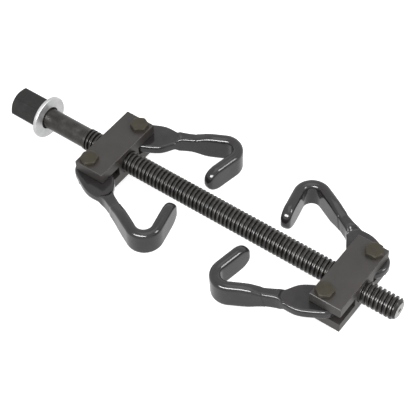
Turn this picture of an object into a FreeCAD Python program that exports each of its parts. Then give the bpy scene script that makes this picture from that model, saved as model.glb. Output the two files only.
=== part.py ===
import FreeCAD, Part
import math
import os

# Coil spring compressor, in millimetres. The forcing screw lies along +X and its axis is the X axis.
# The origin is the centre of the outer end face of the hex head, where the socket goes on. +Z is up:
# the carriages' wide faces are level, and the four hooks swing about upright pivot bolts.

Vec = FreeCAD.Vector
X_AXIS = Vec(1, 0, 0)
Y_AXIS = Vec(0, 1, 0)
Z_AXIS = Vec(0, 0, 1)
ORIGIN = Vec(0, 0, 0)

# Forcing screw
hex_across_flats = 24.0
hex_length = 28.1
hex_corner_turn = 122.6
hex_chamfer_radius = 11.5
hex_chamfer_slope = math.radians(35)
shank_radius = 8.35
shank_chamfer = 1.0
thread_radius = 9.0
thread_pitch = 3.6
thread_depth = 2.0
thread_root_width = 1.2
thread_flank_angle = math.radians(15)
thread_start = 71.2
thread_runout = 1.0
screw_end = 361.7
screw_end_chamfer = 2.4
turns_per_cut = 9

# Thrust washer
washer_outer_radius = 17.75
washer_hole_radius = 9.6
washer_thickness = 3.0
washer_face = 31.4
washer_edge_round = 0.7

# Carriages: solid blocks with a clevis slot milled into each end
carriage_width = 26.6
carriage_length = 65.6
ear_thickness = 9.0
slot_height = 8.9
slot_floor = 12.2
carriage_height = 2 * ear_thickness + slot_height
carriage_chamfer = 0.35
bore_clearance = 0.3
upper_carriage_x = 100.6
lower_carriage_x = 318.8
nut_radial_clearance = 0.3
nut_flank_clearance = 0.25

# Pivot bolts
pivot_y = 25.2
pivot_x = 5.0
bolt_radius = 4.0
bolt_head_across_flats = 13.0
bolt_head_height = 3.4
bolt_head_chamfer_radius = 6.1
bolt_head_chamfer_slope = math.radians(30)
bolt_end_chamfer = 0.8
bolt_end_recess = 0.6
ear_hole_radius = 4.1
tapped_hole_radius = 4.05

# Hooks: a flat round eye, a waist, and a strip on edge that bends into a J
eye_radius = 12.4
eye_thickness = 8.3
eye_hole_radius = 4.1
strip_thickness = 8.4
strip_height = 22.8
section_round = 2.3
arm_angle = 27.5
arm_length = 72.1
bend_radius = 11.0
bend_angle = 128.5
bend_steps = 9
tip_length = 29.4
tip_end_height = 6.0
tip_end_thickness = 6.4
tip_steps = 5

# Flat part of the hook round the eye: (distance from the pivot, width)
eye_sections = [(0.0, 24.8), (8.0, 25.2), (14.0, 24.6), (18.5, 22.8), (22.0, 20.2), (25.5, 16.6), (28.5, 13.2)]
# Forged arm beyond it: (distance from the pivot, width across the arm, height)
arm_sections = [
    (31.0, 10.8, 9.4),
    (33.5, 9.3, 12.4),
    (36.5, 8.8, 14.6),
    (43.0, 8.7, 15.4),
    (50.0, 8.6, 18.4),
    (55.0, strip_thickness, 21.2),
    (60.0, strip_thickness, 22.6),
    (66.0, strip_thickness, strip_height),
]

# The two ends of each carriage: (node suffix, side of the screw)
SIDES = (("left", 1), ("right", -1))
# Turn of each bolt head about its own axis, as left by the spanner
head_turns = {"upper_left": 36, "upper_right": 43, "lower_left": 3, "lower_right": 28}


def along_x(shape):
    """Turn a shape built along Z so that it lies along X."""
    return shape.rotated(ORIGIN, Y_AXIS, 90)


def hex_prism(across_flats, length, corner_angle):
    radius = across_flats / math.sqrt(3)
    points = []
    for corner in range(7):
        angle = math.radians(corner_angle + 60 * corner)
        points.append(Vec(radius * math.cos(angle), radius * math.sin(angle), 0))
    return Part.Face(Part.makePolygon(points)).extrude(Z_AXIS * length)


def chamfer_cone(face_radius, slope, length, outer_radius):
    """A cylinder of outer_radius along Z whose face at Z = 0 is bevelled down to face_radius."""
    rise = (outer_radius - face_radius) * math.tan(slope)
    cone = Part.makeCone(face_radius, outer_radius, rise)
    return cone.fuse(Part.makeCylinder(outer_radius, length - rise, Z_AXIS * rise))


def helical_groove(root_radius, top_radius, root_width, top_width, turns):
    """A solid that follows a right-hand helix about Z, to be cut out as one stretch of thread groove."""
    profile = [
        Vec(root_radius, 0, -root_width / 2),
        Vec(root_radius, 0, root_width / 2),
        Vec(top_radius, 0, top_width / 2),
        Vec(top_radius, 0, -top_width / 2),
    ]
    helix = Part.makeHelix(thread_pitch, thread_pitch * turns, top_radius)
    sweep = Part.BRepOffsetAPI.MakePipeShell(Part.Wire(helix.Edges))
    sweep.setBiNormalMode(Z_AXIS)
    sweep.add(Part.makePolygon(profile + profile[:1]))
    sweep.build()
    sweep.makeSolid()
    return sweep.shape()


def forcing_screw():
    # A corner of the hexagon is hex_corner_turn degrees from +Y towards +Z once the screw is laid along X.
    head = hex_prism(hex_across_flats, hex_length, hex_corner_turn + 90)
    corner_radius = hex_across_flats / math.sqrt(3)
    bevel = chamfer_cone(hex_chamfer_radius, hex_chamfer_slope, hex_length, corner_radius + 0.1)
    head = head.common(bevel)
    head = head.common(bevel.mirror(Z_AXIS * hex_length / 2, Z_AXIS))
    shank = Part.makeCylinder(shank_radius, thread_start - hex_length + 2, Z_AXIS * (hex_length - 2))
    lead_in = Part.makeCone(thread_radius - shank_chamfer, thread_radius, shank_chamfer, Z_AXIS * thread_start)
    middle = Part.makeCylinder(thread_radius, screw_end - thread_start - screw_end_chamfer - shank_chamfer,
                               Z_AXIS * (thread_start + shank_chamfer))
    end = Part.makeCone(thread_radius, thread_radius - screw_end_chamfer, screw_end_chamfer,
                        Z_AXIS * (screw_end - screw_end_chamfer))
    envelope = middle.fuse([lead_in, end])
    overshoot = 0.4
    slope = math.tan(thread_flank_angle)
    top_width = thread_root_width + 2 * (thread_depth + overshoot) * slope
    groove = helical_groove(thread_radius - thread_depth, thread_radius + overshoot,
                            thread_root_width, top_width, turns_per_cut)
    stretch = turns_per_cut * thread_pitch
    groove_start = thread_start + thread_runout
    stretches = math.ceil((screw_end - groove_start) / stretch)
    # The rod is cut over-long, so that every stretch of groove passes right through it, and then trimmed.
    rod = Part.makeCylinder(thread_radius, (stretches + 1) * stretch, Z_AXIS * groove_start)
    for index in range(stretches):
        rod = rod.cut(groove.translated(Z_AXIS * (groove_start + index * stretch)))
    collar = Part.makeCylinder(shank_radius, thread_runout, Z_AXIS * thread_start)
    rod = rod.fuse(collar).common(envelope)
    return along_x(head.fuse([shank, rod]))


def thrust_washer():
    ring = Part.makeCylinder(washer_outer_radius, washer_thickness)
    ring = ring.cut(Part.makeCylinder(washer_hole_radius, washer_thickness))
    outer_edges = [edge for edge in ring.Edges
                   if edge.Closed and abs(edge.BoundBox.XMax - washer_outer_radius) < 0.01
                   and edge.BoundBox.ZLength < 0.01]
    ring = ring.makeFillet(washer_edge_round, outer_edges)
    return along_x(ring.translated(Z_AXIS * (washer_face - washer_thickness)))


def carriage_blank():
    """The block about its own centre, with both slots and the bolt holes, and no bore for the screw."""
    corner = Vec(-carriage_width / 2, -carriage_length / 2, -carriage_height / 2)
    block = Part.makeBox(carriage_width, carriage_length, carriage_height, corner)
    block = block.makeChamfer(carriage_chamfer, block.Edges)
    slot_length = carriage_length / 2 - slot_floor + 1
    for name, side in SIDES:
        start_y = slot_floor if side > 0 else -slot_floor - slot_length
        slot_corner = Vec(-carriage_width / 2 - 1, start_y, -slot_height / 2)
        block = block.cut(Part.makeBox(carriage_width + 2, slot_length, slot_height, slot_corner))
        centre = Vec(side * pivot_x, side * pivot_y, 0)
        clear = Part.makeCylinder(ear_hole_radius, carriage_height, centre)
        tapped = Part.makeCylinder(tapped_hole_radius, carriage_height, centre - Z_AXIS * carriage_height)
        block = block.cut([clear, tapped])
    return block


def upper_carriage():
    bore = Part.makeCylinder(thread_radius + bore_clearance, carriage_width + 2,
                             Vec(-carriage_width / 2 - 1, 0, 0), X_AXIS)
    return carriage_blank().cut(bore).translated(X_AXIS * upper_carriage_x)


def lower_carriage():
    """The nut of the tool: its bore holds an internal thread in mesh with the screw's."""
    slope = math.tan(thread_flank_angle)
    bore_radius = thread_radius - thread_depth + nut_radial_clearance
    groove_radius = thread_radius + nut_radial_clearance
    ridge_at_root = thread_pitch - thread_root_width
    bottom_width = ridge_at_root - 2 * (thread_depth + nut_radial_clearance) * slope + 2 * nut_flank_clearance
    mouth_radius = bore_radius - 0.5
    mouth_width = bottom_width + 2 * (groove_radius - mouth_radius) * slope
    groove = helical_groove(groove_radius, mouth_radius, bottom_width, mouth_width, turns_per_cut)
    # The screw's ridges lie half a pitch from its grooves, so the nut's groove starts there too.
    first_ridge = thread_start + thread_runout + thread_pitch / 2
    near_face = lower_carriage_x - carriage_width / 2
    whole_turns = math.floor((near_face - first_ridge) / thread_pitch)
    groove_start = first_ridge + whole_turns * thread_pitch
    block = carriage_blank().translated(X_AXIS * lower_carriage_x)
    bore = Part.makeCylinder(bore_radius, carriage_width + 2, Vec(near_face - 1, 0, 0), X_AXIS)
    block = block.cut(bore)
    return block.cut(along_x(groove.translated(Z_AXIS * groove_start)))


def pivot_bolt(head_turn):
    """A bolt about its own axis: head on top of the carriage, end threaded into the lower ear."""
    top = carriage_height / 2
    corner_radius = bolt_head_across_flats / math.sqrt(3)
    head = hex_prism(bolt_head_across_flats, bolt_head_height, head_turn)
    bevel = chamfer_cone(bolt_head_chamfer_radius, bolt_head_chamfer_slope, bolt_head_height,
                         corner_radius + 0.1)
    head = head.common(bevel.mirror(Z_AXIS * bolt_head_height / 2, Z_AXIS))
    length = carriage_height - bolt_end_recess
    body = Part.makeCylinder(bolt_radius, length - bolt_end_chamfer, Z_AXIS * (bolt_end_chamfer - length))
    end = Part.makeCone(bolt_radius - bolt_end_chamfer, bolt_radius, bolt_end_chamfer, Z_AXIS * -length)
    return head.fuse([body, end]).translated(Z_AXIS * top)


def rounded_section(point, direction, width, height):
    """A rounded rectangle across the arm: width lies level across it, height along Z."""
    across = Vec(-math.sin(direction), math.cos(direction), 0)
    radius = min(section_round, 0.45 * width, 0.45 * height)
    half_width = width / 2
    half_height = height / 2
    diagonal = radius * (1 - math.sqrt(0.5))
    edges = []

    def place(u, v):
        return point + across * u + Z_AXIS * v

    quarter_signs = ((1, 1), (-1, 1), (-1, -1), (1, -1))
    for index, (su, sv) in enumerate(quarter_signs):
        next_u, next_v = quarter_signs[(index + 1) % 4]
        on_side = (su * half_width, sv * (half_height - radius))
        on_top = (su * (half_width - radius), sv * half_height)
        first, last = (on_side, on_top) if su * sv > 0 else (on_top, on_side)
        middle = (su * (half_width - diagonal), sv * (half_height - diagonal))
        edges.append(Part.Arc(place(*first), place(*middle), place(*last)).toShape())
        if next_v == sv:
            start = (next_u * (half_width - radius), next_v * half_height)
        else:
            start = (next_u * half_width, next_v * (half_height - radius))
        edges.append(Part.LineSegment(place(*last), place(*start)).toShape())
    return Part.Wire(edges)


def hook_blank():
    """The hook about its pivot, with the arm along +X and the J turning towards -Y."""
    flat_sections = []
    for distance, width in eye_sections:
        flat_sections.append(rounded_section(Vec(distance, 0, 0), 0, width, eye_thickness))
    plate = Part.makeLoft(flat_sections, True, False)
    sections = [flat_sections[-1]]
    for distance, width, height in arm_sections:
        sections.append(rounded_section(Vec(distance, 0, 0), 0, width, height))
    for step in range(bend_steps + 1):
        turned = math.radians(bend_angle * step / bend_steps)
        point = Vec(arm_length + bend_radius * math.sin(turned), bend_radius * (math.cos(turned) - 1), 0)
        sections.append(rounded_section(point, -turned, strip_thickness, strip_height))
    heading = -math.radians(bend_angle)
    forward = Vec(math.cos(heading), math.sin(heading), 0)
    round_length = strip_height / 2
    sections.append(rounded_section(point + forward * (tip_length - round_length) / 2, heading,
                                    strip_thickness, strip_height))
    end_angle = math.asin(tip_end_height / strip_height)
    for step in range(tip_steps + 1):
        angle = math.pi / 2 + (end_angle - math.pi / 2) * step / tip_steps
        reach = tip_length - round_length + round_length * math.cos(angle)
        share = (step / tip_steps) ** 2
        thickness = strip_thickness + (tip_end_thickness - strip_thickness) * share
        sections.append(rounded_section(point + forward * reach, heading, thickness,
                                        strip_height * math.sin(angle)))
    arm = Part.makeLoft(sections, True, False)
    eye = Part.makeCylinder(eye_radius, eye_thickness, Z_AXIS * -eye_thickness / 2)
    rim = [edge for edge in eye.Edges if edge.BoundBox.ZLength < 0.01]
    eye = eye.makeFillet(section_round, rim)
    hole = Part.makeCylinder(eye_hole_radius, 2 * strip_height, Z_AXIS * -strip_height)
    return plate.fuse([arm, eye]).cut(hole)


def hook(blank, toward_tip, side):
    """Place the hook: toward_tip is 1 on the upper carriage and -1 on the lower, side is the +Y or -Y end."""
    shape = blank.rotated(ORIGIN, Z_AXIS, arm_angle)
    if toward_tip < 0:
        shape = shape.mirror(ORIGIN, X_AXIS)
    if side < 0:
        shape = shape.mirror(ORIGIN, Y_AXIS)
    carriage_x = upper_carriage_x if toward_tip > 0 else lower_carriage_x
    return shape.translated(Vec(carriage_x + side * pivot_x, side * pivot_y, 0))


def build():
    nodes = {
        "forcing_screw": forcing_screw(),
        "thrust_washer": thrust_washer(),
        "upper_carriage": upper_carriage(),
        "lower_carriage": lower_carriage(),
    }
    blank = hook_blank()
    for end, carriage_x, toward_tip in (("upper", upper_carriage_x, 1), ("lower", lower_carriage_x, -1)):
        for side_name, side in SIDES:
            place = end + "_" + side_name
            centre = Vec(carriage_x + side * pivot_x, side * pivot_y, 0)
            nodes[end + "_hook_" + side_name] = hook(blank, toward_tip, side)
            nodes[end + "_pivot_bolt_" + side_name] = pivot_bolt(head_turns[place]).translated(centre)
    return nodes


os.makedirs("parts", exist_ok=True)
for node_name, node_shape in build().items():
    node_shape.exportStep("parts/" + node_name + ".step")
    print(node_name, node_shape.isValid(), len(node_shape.Solids), round(node_shape.Volume))
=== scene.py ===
import math

import bmesh
import bpy
from mathutils import Matrix, Vector, noise


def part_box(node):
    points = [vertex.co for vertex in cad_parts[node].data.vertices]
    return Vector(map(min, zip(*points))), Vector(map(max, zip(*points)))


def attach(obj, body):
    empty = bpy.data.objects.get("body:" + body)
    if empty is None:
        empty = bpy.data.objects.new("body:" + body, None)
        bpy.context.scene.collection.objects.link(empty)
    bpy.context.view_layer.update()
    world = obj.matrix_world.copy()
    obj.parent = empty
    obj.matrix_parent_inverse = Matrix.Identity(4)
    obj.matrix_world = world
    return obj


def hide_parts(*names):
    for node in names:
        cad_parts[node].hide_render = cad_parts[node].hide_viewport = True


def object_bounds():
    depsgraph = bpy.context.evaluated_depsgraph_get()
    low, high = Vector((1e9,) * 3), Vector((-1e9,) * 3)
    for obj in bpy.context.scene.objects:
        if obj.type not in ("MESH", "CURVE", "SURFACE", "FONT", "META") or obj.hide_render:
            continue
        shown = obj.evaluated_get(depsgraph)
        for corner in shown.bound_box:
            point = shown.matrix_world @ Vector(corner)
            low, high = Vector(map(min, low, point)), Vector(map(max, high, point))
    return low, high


# A coil spring compressor on a white bench, in metres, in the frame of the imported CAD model: the forcing
# screw lies along +X, +Z is up, and the hooks swing about upright bolts.

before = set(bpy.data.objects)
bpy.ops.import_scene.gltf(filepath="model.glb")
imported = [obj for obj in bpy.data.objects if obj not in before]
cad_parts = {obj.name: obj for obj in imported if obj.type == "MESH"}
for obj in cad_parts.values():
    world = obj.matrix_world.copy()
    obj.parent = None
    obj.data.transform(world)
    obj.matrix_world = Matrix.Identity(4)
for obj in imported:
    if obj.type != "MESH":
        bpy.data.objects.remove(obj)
cad_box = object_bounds()
MM = 0.001

SIDES = (("left", 1), ("right", -1))
ENDS = (("upper", 1), ("lower", -1))

# Forcing screw
HEX_FLATS = 24.0 * MM
HEX_LENGTH = 28.1 * MM
HEX_TURN = math.radians(122.6)
HEX_FACE_RADIUS = 11.5 * MM
HEX_BEVEL_SLOPE = math.tan(math.radians(35))
HEX_EDGE_ROUND = 0.35 * MM
HEX_COLUMNS = 120
BEVEL_BLEND = 0.25 * MM
HEAD_DRILLING = (2.2 * MM, 1.5 * MM)
HEAD_FILLET = 0.8 * MM
HEAD_FILLET_STEPS = 6
SHANK_RADIUS = 8.35 * MM
THREAD_RADIUS = 9.0 * MM
THREAD_PITCH = 3.6 * MM
THREAD_START = 71.2 * MM
GROOVE_START = 72.2 * MM
SCREW_END = 361.7 * MM
LEAD_IN = 1.0 * MM
END_BEVEL = 2.4 * MM
THREAD_SEGMENTS = 64
THREAD_RUN_IN = 0.3
SHANK_OVERLAP = 0.4 * MM
ROD_CORE = 3 * MM
END_DRILLING = 1.0 * MM

# Half of one thread ridge, from the middle of the groove to the middle of the crest, in mm: along the
# screw, radius
THREAD_PROFILE = (
    (0.00, 7.00), (0.40, 7.00), (0.55, 7.06), (0.65, 7.20), (0.86, 8.00), (1.06, 8.74),
    (1.11, 8.87), (1.19, 8.96), (1.32, 9.00), (1.80, 9.00),
)

# Hook
PIVOT_HOLE_RADIUS = 4.1 * MM
ARM_ANGLE = math.radians(27.5)
ARM_LENGTH = 72.1 * MM
BEND_RADIUS = 11.0 * MM
BEND_ANGLE = math.radians(128.5)
TIP_LENGTH = 29.2 * MM
TIP_ROUND = 12.0 * MM
SECTION_ROUND = 2.3 * MM
TIP_SECTION_ROUND = 3.5 * MM
ROUND_STEPS = 7
EYE_STEPS = 36
SHOULDER_END = 36 * MM
SHOULDER_ARC = 2.6 * MM
FORGE_STEP = 0.4 * MM
FORGE_STEP_AT = 44.0 * MM
FORGE_STEP_SLANT = 0.25
FORGE_STEP_RISE = 0.7 * MM
STRETCH_START = 44.0 * MM
HAMMER_DEPTH = 0.10 * MM

# The eyes are a little loose in their slots and no two forgings are quite alike: how far each hook hangs
# down and is turned inwards, in degrees, and how much longer its arm is, in mm
HOOK_HANG = {
    "upper_hook_left": (0.4, 0.4, -2.9), "upper_hook_right": (1.0, 1.9, 0.4),
    "lower_hook_left": (0.4, 0.4, -0.2), "lower_hook_right": (1.2, -0.4, -2.2),
}

# Sections of the forged arm, in mm: distance from the pivot, width across the arm, height, how far its
# middle lies outside the arm's straight line
HOOK_SECTIONS = (
    (0.0, 24.8, 8.3, 0.0), (8.0, 25.4, 8.3, 0.0), (14.0, 25.2, 8.3, 0.1), (18.5, 23.8, 8.3, 0.2),
    (22.0, 21.2, 8.3, 0.4), (25.5, 17.4, 8.3, 0.6), (28.2, 14.2, 8.3, 0.7), (29.8, 12.5, 8.7, 0.7),
    (31.2, 11.1, 11.4, 0.7), (32.7, 9.9, 13.7, 0.6), (35.5, 8.9, 14.6, 0.5), (40.0, 8.4, 14.8, 0.4),
    (44.5, 8.0, 15.4, 0.3), (50.0, 7.8, 18.4, 0.1), (55.0, 7.8, 21.2, 0.0), (60.0, 7.8, 22.5, 0.0),
    (66.0, 7.8, 22.8, 0.0), (130.0, 7.8, 22.8, 0.0),
)


def node(material, kind, **settings):
    item = material.node_tree.nodes.new(kind)
    for name, value in settings.items():
        setattr(item, name, value)
    return item


def noise_node(material, scale, detail=4.0, roughness=0.6, stretch=(1, 1, 1)):
    """Noise over the object's own coordinates, with scale in features per metre."""
    links = material.node_tree.links
    place = node(material, "ShaderNodeTexCoord")
    mapping = node(material, "ShaderNodeMapping")
    mapping.inputs["Scale"].default_value = stretch
    texture = node(material, "ShaderNodeTexNoise")
    texture.inputs["Scale"].default_value = scale
    texture.inputs["Detail"].default_value = detail
    texture.inputs["Roughness"].default_value = roughness
    links.new(place.outputs["Object"], mapping.inputs["Vector"])
    links.new(mapping.outputs["Vector"], texture.inputs["Vector"])
    return texture.outputs["Fac"]


def from_axis(material, scale):
    """Distance from the axis of the screw, times the scale."""
    links = material.node_tree.links
    place = node(material, "ShaderNodeTexCoord")
    flat = node(material, "ShaderNodeVectorMath", operation="MULTIPLY")
    flat.inputs[1].default_value = (0.0, scale, scale)
    length = node(material, "ShaderNodeVectorMath", operation="LENGTH")
    links.new(place.outputs["Object"], flat.inputs[0])
    links.new(flat.outputs["Vector"], length.inputs[0])
    return length.outputs["Value"]


def ramp(material, factor, stops):
    """Colours at positions along the factor."""
    item = node(material, "ShaderNodeValToRGB")
    elements = item.color_ramp.elements
    while len(elements) < len(stops):
        elements.new(0.5)
    for element, (position, colour) in zip(elements, stops):
        element.position = position
        element.color = (*colour, 1.0)
    material.node_tree.links.new(factor, item.inputs["Fac"])
    return item.outputs["Color"]


def spread(material, factor, low, high):
    """The middle of a noise's range, spread from low to high."""
    item = node(material, "ShaderNodeMapRange")
    item.inputs["From Min"].default_value = 0.3
    item.inputs["From Max"].default_value = 0.7
    item.inputs["To Min"].default_value = low
    item.inputs["To Max"].default_value = high
    material.node_tree.links.new(factor, item.inputs["Value"])
    return item.outputs["Result"]


def bump(material, height, depth, strength=1.0, onto=None):
    """Normals of a height pattern, over another bump where one is given."""
    item = node(material, "ShaderNodeBump")
    item.inputs["Strength"].default_value = strength
    item.inputs["Distance"].default_value = depth
    links = material.node_tree.links
    links.new(height, item.inputs["Height"])
    if onto is not None:
        links.new(onto, item.inputs["Normal"])
    return item.outputs["Normal"]


def principled(name, metallic=0.0, specular=0.5):
    material = bpy.data.materials.new(name)
    material.use_nodes = True
    shader = material.node_tree.nodes["Principled BSDF"]
    shader.inputs["Metallic"].default_value = metallic
    shader.inputs["Specular IOR Level"].default_value = specular
    return material, shader


def finish_material(name, colours, patch_scale, roughness, grain_scale, grain_depth, **settings):
    """Patchy colour, patchy gloss and a fine surface grain."""
    material, shader = principled(name, **settings)
    links = material.node_tree.links
    patches = noise_node(material, patch_scale, detail=5.0)
    grain = noise_node(material, grain_scale, detail=3.0)
    links.new(ramp(material, patches, colours), shader.inputs["Base Color"])
    links.new(spread(material, patches, *roughness), shader.inputs["Roughness"])
    links.new(bump(material, grain, grain_depth), shader.inputs["Normal"])
    return material


def carriage_steel():
    """Black-oxide block steel with faint marks of the mill running along the block."""
    colours = ((0.30, (0.024, 0.0205, 0.0180)), (0.70, (0.034, 0.0295, 0.0265)))
    material, shader = principled("carriage_steel")
    links = material.node_tree.links
    patches = noise_node(material, 45, detail=5.0)
    marks = noise_node(material, 900, detail=2.0, stretch=(1.0, 0.04, 1.0))
    grain = noise_node(material, 2600, detail=3.0)
    milled = bump(material, marks, 0.05 * MM, 0.5)
    links.new(ramp(material, patches, colours), shader.inputs["Base Color"])
    links.new(spread(material, patches, 0.38, 0.50), shader.inputs["Roughness"])
    links.new(bump(material, grain, 0.02 * MM, 0.6, milled), shader.inputs["Normal"])
    return material


def hook_paint():
    """Thick glossy black paint over a forging, with slow orange-peel waves."""
    colours = ((0.35, (0.018, 0.0165, 0.0175)), (0.65, (0.027, 0.025, 0.026)))
    return finish_material("hook_paint", colours, 60, (0.10, 0.18), 260, 0.018 * MM, specular=0.45)


def bolt_steel():
    """Olive-brown phosphated bolts."""
    colours = ((0.30, (0.0275, 0.0230, 0.0135)), (0.70, (0.0395, 0.0335, 0.0200)))
    return finish_material("bolt_steel", colours, 160, (0.36, 0.50), 2200, 0.04 * MM, specular=0.3)


def screw_steel():
    """Oiled black-oxide steel, patchy along the shank, with turning marks round it; thread crests lightened
    as rubbed wear and painted highlight, roots darkened as painted shade.
    """
    colours = ((0.32, (0.009, 0.008, 0.007)), (0.55, (0.020, 0.018, 0.016)), (0.74, (0.060, 0.055, 0.050)))
    # Multiplier by distance from the axis: painted shade in the thread roots, rubbed wear and a painted
    # highlight on the crests, a darker tone on the hex head
    wear_and_painted_light = ((0.36, (0.25, 0.25, 0.25)), (0.405, (0.8, 0.8, 0.8)), (0.425, (1.2, 1.2, 1.2)),
            (0.446, (1.6, 1.6, 1.6)), (0.455, (1.6, 1.6, 1.6)), (0.50, (0.3, 0.3, 0.3)))
    material, shader = principled("screw_steel", metallic=0.15)
    links = material.node_tree.links
    patches = noise_node(material, 130, detail=6.0, roughness=0.7)
    lathe = noise_node(material, 1500, detail=2.0, stretch=(1.0, 0.03, 0.03))
    grain = noise_node(material, 2400, detail=3.0)
    tone_and_painted_light = node(material, "ShaderNodeMix", data_type="RGBA", blend_type="MULTIPLY")
    tone_and_painted_light.inputs["Factor"].default_value = 1.0
    links.new(ramp(material, patches, colours), tone_and_painted_light.inputs["A"])
    # The patches times the thread's painted shade, wear and painted highlight
    links.new(ramp(material, from_axis(material, 50), wear_and_painted_light), tone_and_painted_light.inputs["B"])
    links.new(tone_and_painted_light.outputs["Result"], shader.inputs["Base Color"])
    links.new(spread(material, patches, 0.24, 0.40), shader.inputs["Roughness"])
    turned = bump(material, lathe, 0.03 * MM, 0.5)
    links.new(bump(material, grain, 0.03 * MM, 0.6, turned), shader.inputs["Normal"])
    return material


def bare_steel():
    """The sawn and faced end of the screw, left bright."""
    colours = ((0.30, (0.32, 0.32, 0.31)), (0.70, (0.46, 0.45, 0.44)))
    return finish_material("bare_steel", colours, 300, (0.30, 0.45), 3000, 0.03 * MM, metallic=0.9)


def zinc_plate():
    """Bright zinc plate, slightly clouded, over a stamped washer."""
    colours = ((0.30, (0.46, 0.463, 0.465)), (0.70, (0.60, 0.603, 0.605)))
    return finish_material("zinc_plate", colours, 180, (0.36, 0.50), 2500, 0.03 * MM, metallic=0.85)


def floor_white():
    """A white sweep that glows a little, so that it stays white under the lights."""
    colours = ((0.3, (0.60, 0.60, 0.60)), (0.7, (0.63, 0.63, 0.63)))
    material, shader = principled("floor_white", specular=0.2)
    shader.inputs["Roughness"].default_value = 0.7
    shader.inputs["Emission Color"].default_value = (1.0, 1.0, 1.0, 1.0)
    shader.inputs["Emission Strength"].default_value = 0.82
    patches = noise_node(material, 3, detail=2.0)
    material.node_tree.links.new(ramp(material, patches, colours), shader.inputs["Base Color"])
    return material


def mesh_object(name, mesh_data, materials, shade_angle=None):
    """A smooth-shaded object from the bmesh, which is used up."""
    mesh = bpy.data.meshes.new(name)
    mesh_data.normal_update()
    mesh_data.to_mesh(mesh)
    mesh_data.free()
    for material in materials:
        mesh.materials.append(material)
    item = bpy.data.objects.new(name, mesh)
    bpy.context.scene.collection.objects.link(item)
    for face in mesh.polygons:
        face.use_smooth = True
    if shade_angle is not None:
        mark_sharp(mesh, shade_angle)
    return item


def mark_sharp(mesh, angle):
    """Edges sharper than the angle are shaded hard."""
    work = bmesh.new()
    work.from_mesh(mesh)
    for edge in work.edges:
        if len(edge.link_faces) == 2 and edge.calc_face_angle(0.0) > angle:
            edge.smooth = False
    work.to_mesh(mesh)
    work.free()


def ring_rows(work, rows):
    """Quads between neighbouring rows of vertices, each row running round the shape."""
    for first, second in zip(rows, rows[1:]):
        count = len(first)
        for index in range(count):
            following = (index + 1) % count
            work.faces.new((first[index], second[index], second[following], first[following]))


def fan(work, centre, row, inward):
    """Triangles from the centre to a closed row."""
    count = len(row)
    for index in range(count):
        pair = (row[index], row[(index + 1) % count])
        work.faces.new((centre, *pair) if inward else (centre, *reversed(pair)))


def around_x(x, radius, angle):
    """A point at that distance along the screw; the angle runs from +Y towards +Z."""
    return Vector((x, radius * math.cos(angle), radius * math.sin(angle)))


def smallest(a, b, softness):
    """The lesser of a and b, with a rounded change from one to the other."""
    share = max(softness - abs(a - b), 0.0) / softness
    return min(a, b) - share * share * softness / 4


def head_and_shank(work):
    """Bevelled hex head with a centre drilling, a fillet under it and the plain shank, as one skin."""
    flats = HEX_FLATS / 2
    corner = flats * 2 / math.sqrt(3) - HEX_EDGE_ROUND
    bevel_length = (HEX_FLATS / math.sqrt(3) - HEX_FACE_RADIUS) * HEX_BEVEL_SLOPE

    def hex_radius(angle):
        turned = (angle - HEX_TURN) % (math.pi / 3) - math.pi / 6
        return flats / math.cos(turned)

    def head_radius(x, angle):
        from_face = min(x, 4 * (HEX_LENGTH - x) + 0.6 * bevel_length)
        bevel = HEX_FACE_RADIUS + from_face / HEX_BEVEL_SLOPE
        return smallest(smallest(hex_radius(angle), corner, HEX_EDGE_ROUND), bevel, BEVEL_BLEND)

    def add_row(x, radius):
        rows.append([work.verts.new(around_x(x, radius, angle)) for angle in angles])

    stations = [bevel_length * share for share in (0.0, 0.12, 0.25, 0.4, 0.55, 0.7, 0.85, 1.0, 1.3)]
    middle = [HEX_LENGTH * share for share in (0.2, 0.35, 0.5, 0.65, 0.8)]
    stations = stations + middle + [HEX_LENGTH - x for x in reversed(stations)]
    angles = [HEX_TURN + 2 * math.pi * index / HEX_COLUMNS for index in range(HEX_COLUMNS)]
    drill_point, drill_depth = HEAD_DRILLING
    rows = []
    for radius, depth in ((1.6, drill_depth), (3.2, 0.0), (6.5, 0.0), (9.5, 0.0), (11.2, 0.0)):
        add_row(depth, radius * MM)
    for x in stations:
        rows.append([work.verts.new(around_x(x, head_radius(x, angle), angle)) for angle in angles])
    for radius in (11.2, 10.0):
        add_row(HEX_LENGTH, radius * MM)
    for step in range(HEAD_FILLET_STEPS + 1):
        turn = math.pi / 2 * step / HEAD_FILLET_STEPS
        add_row(HEX_LENGTH + HEAD_FILLET * (1 - math.cos(turn)),
                SHANK_RADIUS + HEAD_FILLET * (1 - math.sin(turn)))
    shank_start = HEX_LENGTH + HEAD_FILLET
    shank_end = THREAD_START + SHANK_OVERLAP
    for share in (0.02, 0.2, 0.4, 0.6, 0.8, 0.99, 1.0):
        add_row(shank_start + (shank_end - shank_start) * share, SHANK_RADIUS)
    ring_rows(work, rows)
    fan(work, work.verts.new((drill_point, 0, 0)), rows[0], True)
    fan(work, work.verts.new((shank_end, 0, 0)), rows[-1], False)


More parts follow.
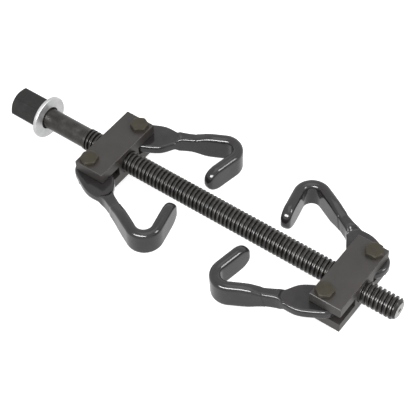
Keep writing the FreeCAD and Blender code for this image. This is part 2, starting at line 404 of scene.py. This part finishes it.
def thread_columns(work):
    """Columns of vertices across one pitch each, all along the helix, and the number of steps."""
    profile = [(along * MM, radius * MM) for along, radius in THREAD_PROFILE]
    profile += [(THREAD_PITCH - along, radius) for along, radius in reversed(profile[1:-1])]
    first_turn = math.floor((THREAD_START - GROOVE_START) / THREAD_PITCH) - 1
    last_turn = math.ceil((SCREW_END - GROOVE_START) / THREAD_PITCH) + 1
    steps = (last_turn - first_turn) * THREAD_SEGMENTS
    columns = []
    for step in range(steps + 1):
        turns = first_turn + step / THREAD_SEGMENTS
        angle = 2 * math.pi * turns - math.pi / 2
        depth = min(max(turns / THREAD_RUN_IN, 0.0), 1.0)
        column = []
        for along, radius in profile:
            x = GROOVE_START + THREAD_PITCH * turns + along
            limit = min(THREAD_RADIUS, THREAD_RADIUS - LEAD_IN + (x - THREAD_START),
                        THREAD_RADIUS - END_BEVEL + (SCREW_END - x))
            level = THREAD_RADIUS - (THREAD_RADIUS - radius) * depth
            column.append(work.verts.new(around_x(x, min(level, max(limit, ROD_CORE)), angle)))
        columns.append(column)
    return columns, steps


def threaded_rod(work):
    """The helical ridge as one ribbon of quads that winds round the rod, cut flat at both ends."""
    columns, steps = thread_columns(work)
    width = len(columns[0])
    for step in range(steps):
        for index in range(width - 1):
            work.faces.new((columns[step][index], columns[step + 1][index],
                            columns[step + 1][index + 1], columns[step][index + 1]))
        following = step + THREAD_SEGMENTS
        if following + 1 <= steps:
            work.faces.new((columns[step][-1], columns[step + 1][-1],
                            columns[following + 1][0], columns[following][0]))
    for x, normal in ((THREAD_START, (-1, 0, 0)), (SCREW_END, (1, 0, 0))):
        everything = work.verts[:] + work.edges[:] + work.faces[:]
        cut = bmesh.ops.bisect_plane(work, geom=everything, plane_co=(x, 0, 0), plane_no=normal,
                                     clear_outer=True)
        rim = [edge for edge in cut["geom_cut"] if isinstance(edge, bmesh.types.BMEdge)]
        cap_end(work, rim, x, normal[0])


def cap_end(work, rim, x, outward):
    """Close a round cut with rings of quads and a shallow centre drilling."""
    edge_row = sorted({vertex for edge in rim for vertex in edge.verts},
                      key=lambda vertex: math.atan2(vertex.co.z, vertex.co.y))
    mean = sum(vertex.co.yz.length for vertex in edge_row) / len(edge_row)
    rows = [edge_row]
    for share, depth in ((0.9, 0.0), (0.5, 0.0), (0.27, 0.0), (0.2, END_DRILLING)):
        row = []
        for vertex in edge_row:
            flat = vertex.co.yz.normalized() * mean * share
            row.append(work.verts.new((x - depth * outward, flat.x, flat.y)))
        rows.append(row)
    ring_rows(work, rows)
    work.faces.new(rows[-1])


def between(table, distance):
    """Width, height and outward shift at a distance along the hook, smooth through the table's sections."""
    keys = [row[0] for row in table]
    index = max(0, min(len(keys) - 2, sum(1 for key in keys if key <= distance) - 1))
    low = table[max(index - 1, 0)]
    start = table[index]
    end = table[index + 1]
    high = table[min(index + 2, len(keys) - 1)]
    span = end[0] - start[0]
    share = (distance - start[0]) / span
    result = []
    for item in (1, 2, 3):
        slope_start = (end[item] - low[item]) / (end[0] - low[0]) * span
        slope_end = (high[item] - start[item]) / (high[0] - start[0]) * span
        square = share * share
        cube = square * share
        result.append((2 * cube - 3 * square + 1) * start[item] + (cube - 2 * square + share) * slope_start
                      + (3 * square - 2 * cube) * end[item] + (cube - square) * slope_end)
    return result


def half_section(half_width, half_height, corner):
    """Right half of a rounded rectangle, from the middle of the bottom round to the middle of the top."""
    corner = min(corner, 0.9 * half_width, 0.9 * half_height)
    flat = half_width - corner
    side = half_height - corner
    points = [(flat * share, -half_height) for share in (0.0, 0.35, 0.7, 0.93)]
    for step in range(ROUND_STEPS + 1):
        turn = math.pi / 2 * step / ROUND_STEPS
        points.append((flat + corner * math.sin(turn), -side - corner * math.cos(turn)))
    points += [(half_width, side * share) for share in (-0.9, -0.3, 0.3, 0.9)]
    for step in range(ROUND_STEPS + 1):
        turn = math.pi / 2 * step / ROUND_STEPS
        points.append((flat + corner * math.cos(turn), side + corner * math.sin(turn)))
    points += [(flat * share, half_height) for share in (0.93, 0.7, 0.35, 0.0)]
    return points


def centre_line(distance):
    """Point and heading of the hook's middle line at a distance along it from the pivot."""
    bend_length = BEND_RADIUS * BEND_ANGLE
    if distance <= ARM_LENGTH:
        return Vector((distance, 0)), 0.0
    turned = min(distance - ARM_LENGTH, bend_length) / BEND_RADIUS
    point = Vector((ARM_LENGTH + BEND_RADIUS * math.sin(turned), BEND_RADIUS * (math.cos(turned) - 1)))
    beyond = max(distance - ARM_LENGTH - bend_length, 0.0)
    heading = Vector((math.cos(turned), -math.sin(turned)))
    return point + heading * beyond, -turned


def forge_ledge(distance, height):
    """How far the side of the strip stands out past the neck, along a slanted line across the side."""
    reach = distance - FORGE_STEP_AT - FORGE_STEP_SLANT * height
    share = min(max(reach / FORGE_STEP_RISE + 0.5, 0.0), 1.0)
    return FORGE_STEP * share * share * (3 - 2 * share)


def hook_stations(end):
    """Distances along the hook at which it has a ring of vertices, closest at the shoulder and the tip."""
    distances = [step * 1.5 * MM for step in range(17)]
    distances += [25.2 * MM + step * 0.45 * MM for step in range(50)]
    distances += [48.5 * MM + step * 1.25 * MM for step in range(19)]
    distances = [value for value in distances if value < ARM_LENGTH - 0.5 * MM]
    distances += [ARM_LENGTH + BEND_RADIUS * BEND_ANGLE * step / 22 for step in range(23)]
    straight = end - TIP_ROUND - distances[-1]
    distances += [distances[-1] + straight * step / 14 for step in range(1, 15)]
    distances += [end - TIP_ROUND * (1 - math.sin(math.pi / 2 * step / 14)) for step in range(1, 14)]
    return distances


def hook_ring(work, distance, end):
    """One ring of vertices round the hook, narrowing in height and width over the round tip."""
    width, height, shift = between(HOOK_SECTIONS, distance / MM)
    share = max(distance - (end - TIP_ROUND), 0.0) / TIP_ROUND
    half_height = height * MM / 2 * math.sqrt(max(1 - share * share, 0.0))
    half_width = width * MM / 2 * (1 - 0.12 * share ** 2)
    half_width *= max(1 - max(share - 0.7, 0.0) ** 2 / 0.09, 0.02) ** 0.5
    softer = min(max((distance / MM - 46) / 14, 0.0), 1.0)
    corner = SECTION_ROUND + (TIP_SECTION_ROUND - SECTION_ROUND) * softer
    right = half_section(half_width, half_height, corner)
    point, heading = centre_line(distance)
    across = Vector((-math.sin(heading), math.cos(heading)))
    ring = []
    for u, v in right + [(-u, v) for u, v in reversed(right[1:-1])]:
        beside = min(abs(u) / half_width, 1.0) ** 2
        if distance < SHOULDER_END:
            v *= between(HOOK_SECTIONS, (distance + SHOULDER_ARC * (beside - 0.5)) / MM)[1] / height
        ledge = forge_ledge(distance, v) * beside
        place = point + across * (u + shift * MM + math.copysign(ledge, u))
        ring.append(work.verts.new((place.x, place.y, v)))
    return ring


def hook_surface(work):
    """One forged hook about its pivot, arm along +X, J turning towards -Y."""
    end = ARM_LENGTH + BEND_RADIUS * BEND_ANGLE + TIP_LENGTH
    rings = [hook_ring(work, distance, end) for distance in hook_stations(end)]
    ring_rows(work, rings)
    tip = centre_line(end)[0]
    fan(work, work.verts.new((tip.x, tip.y, 0.0)), rings[-1], False)
    round_eye(work, rings[0])


def round_eye(work, ring):
    """Turn the first section's right half about the pivot to close the round end of the eye."""
    half = len(ring) // 2
    rows = [ring[1:half]]
    for step in range(1, EYE_STEPS):
        turn = Matrix.Rotation(math.pi * step / EYE_STEPS, 3, "Z")
        rows.append([work.verts.new(turn @ vertex.co) for vertex in ring[1:half]])
    rows.append([ring[len(ring) - index] for index in range(1, half)])
    bottom = ring[0]
    top = ring[half]
    for first, second in zip(rows, rows[1:]):
        work.faces.new((first[0], second[0], bottom))
        work.faces.new((second[-1], first[-1], top))
        for index in range(len(first) - 1):
            work.faces.new((first[index], first[index + 1], second[index + 1], second[index]))


def stretch_arm(work, extra):
    """Lengthen the strip between the neck and the bend."""
    span = ARM_LENGTH - BEND_RADIUS - STRETCH_START
    for vertex in work.verts:
        vertex.co.x += extra * min(max((vertex.co.x - STRETCH_START) / span, 0.0), 1.0)


def hammer(work, seed):
    """Slow dents left by the forging dies, faded out on the flat faces of the eye."""
    work.normal_update()
    for vertex in work.verts:
        away = min(max((vertex.co.xy.length / MM - 20) / 15, 0.0), 1.0)
        wave = noise.noise(vertex.co * 95 + Vector((seed, 0, 0)))
        fine = noise.noise(vertex.co * 260 + Vector((0, seed, 0)))
        vertex.co += vertex.normal * HAMMER_DEPTH * away * (wave + 0.2 * fine)


def cut_hole(item, radius, half_depth):
    """Drill the pivot hole through the eye, and leave the result in the mesh."""
    work = bmesh.new()
    bmesh.ops.create_cone(work, cap_ends=True, segments=72, radius1=radius, radius2=radius,
                          depth=2 * half_depth)
    cutter = mesh_object("cutter", work, [])
    cut = item.modifiers.new("hole", "BOOLEAN")
    cut.operation = "DIFFERENCE"
    cut.solver = "EXACT"
    cut.object = cutter
    bpy.context.view_layer.update()
    graph = bpy.context.evaluated_depsgraph_get()
    mesh = bpy.data.meshes.new_from_object(item.evaluated_get(graph))
    item.modifiers.clear()
    item.data = mesh
    bpy.data.objects.remove(cutter)
    mark_sharp(mesh, math.radians(50))


def hang_hook(hook, node_name, bolt_name, toward_tip, side):
    """Mirror the hook for its corner of the tool and place it on its bolt."""
    low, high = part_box(bolt_name)
    droop, inwards = HOOK_HANG[node_name][:2]
    turn = Matrix.Rotation(ARM_ANGLE - math.radians(inwards), 4, "Z")
    hang = turn @ Matrix.Rotation(math.radians(droop), 4, "Y")
    place = Matrix.Translation(((low.x + high.x) / 2, (low.y + high.y) / 2, 0.0))
    mirror = Matrix.Diagonal((toward_tip, side, 1, 1))
    hook.data.transform(place @ mirror @ hang)
    if toward_tip * side < 0:
        hook.data.flip_normals()


def make_hooks(paint):
    for end, toward_tip in ENDS:
        for name, side in SIDES:
            node_name = end + "_hook_" + name
            work = bmesh.new()
            hook_surface(work)
            stretch_arm(work, HOOK_HANG[node_name][2] * MM)
            hammer(work, 3.0 * toward_tip + side)
            bmesh.ops.recalc_face_normals(work, faces=work.faces)
            hook = mesh_object("forged_" + node_name, work, [paint])
            cut_hole(hook, PIVOT_HOLE_RADIUS, 20 * MM)
            hang_hook(hook, node_name, end + "_pivot_bolt_" + name, toward_tip, side)
            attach(hook, node_name)
            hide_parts(node_name)


def make_screw(steel, bare):
    work = bmesh.new()
    threaded_rod(work)
    head_and_shank(work)
    bmesh.ops.recalc_face_normals(work, faces=work.faces)
    screw = mesh_object("turned_forcing_screw", work, [steel, bare], math.radians(40))
    for face in screw.data.polygons:
        if face.center.x > SCREW_END - 0.05 * MM:
            face.material_index = 1
    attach(screw, "forcing_screw")
    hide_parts("forcing_screw")


def paint_cad_nodes(materials):
    """Give each CAD solid that shows the finish of its kind."""
    for name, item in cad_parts.items():
        kind = "bolt" if "bolt" in name else name.split("_")[-1]
        if kind in materials:
            item.data.materials.clear()
            item.data.materials.append(materials[kind])


def make_floor(material, centre, height):
    work = bmesh.new()
    bmesh.ops.create_grid(work, x_segments=8, y_segments=8, size=3.0)
    floor = mesh_object("floor", work, [material])
    floor.location = (centre.x, centre.y, height)
    floor.visible_glossy = False


def make_world():
    """An even white surround."""
    world = bpy.data.worlds.new("studio")
    world.use_nodes = True
    background = world.node_tree.nodes["Background"]
    background.inputs["Color"].default_value = (1.0, 1.0, 1.0, 1.0)
    background.inputs["Strength"].default_value = 1.0
    bpy.context.scene.world = world


def make_lights(centre):
    """Soft boxes, each aimed at the middle of the tool. The front one only makes highlights."""
    for name, offset, size, power, lights_matt in (
        ("front_box", (0.20, -0.92, 0.75), (1.1, 0.30), 34.0, False),
        ("top_box", (0.15, 0.10, 1.35), (1.3, 0.9), 4.0, True),
        ("right_box", (1.10, 0.35, 0.75), (0.3, 0.5), 7.0, True),
    ):
        data = bpy.data.lights.new(name, "AREA")
        data.shape = "RECTANGLE"
        data.size, data.size_y = size
        data.energy = power
        lamp = bpy.data.objects.new(name, data)
        lamp.visible_diffuse = lights_matt
        lamp.location = centre + Vector(offset)
        lamp.rotation_euler = (-Vector(offset)).to_track_quat("-Z", "Y").to_euler()
        bpy.context.scene.collection.objects.link(lamp)


def make_camera():
    """Above the near side of the screw's tip, looking down along the tool."""
    target = Vector((0.1931, -0.0025, 0.0))
    elevation = math.radians(50.46)
    azimuth = math.radians(38.17)
    distance = 1.0064
    roll = math.radians(-2.30)
    toward = Vector((math.cos(elevation) * math.sin(azimuth),
                     -math.cos(elevation) * math.cos(azimuth),
                     math.sin(elevation)))
    data = bpy.data.cameras.new("camera")
    data.sensor_width = 36.0
    data.lens = 113.8
    data.clip_start = 0.05
    camera = bpy.data.objects.new("camera", data)
    camera.location = target + toward * distance
    turn = (-toward).to_track_quat("-Z", "Y").to_matrix().to_4x4()
    camera.rotation_euler = (turn @ Matrix.Rotation(roll, 4, "Z")).to_euler()
    bpy.context.scene.collection.objects.link(camera)
    bpy.context.scene.camera = camera


steel = screw_steel()
paint_cad_nodes({
    "screw": steel,
    "carriage": carriage_steel(),
    "bolt": bolt_steel(),
    "washer": zinc_plate(),
})
make_screw(steel, bare_steel())
make_hooks(hook_paint())
low, high = cad_box
middle = Vector(((low[0] + high[0]) / 2, 0.0, 0.0))
make_floor(floor_white(), middle, low[2])
make_world()
make_lights(middle)
make_camera()
bpy.context.scene.view_settings.view_transform = "Standard"

bpy.context.view_layer.update()
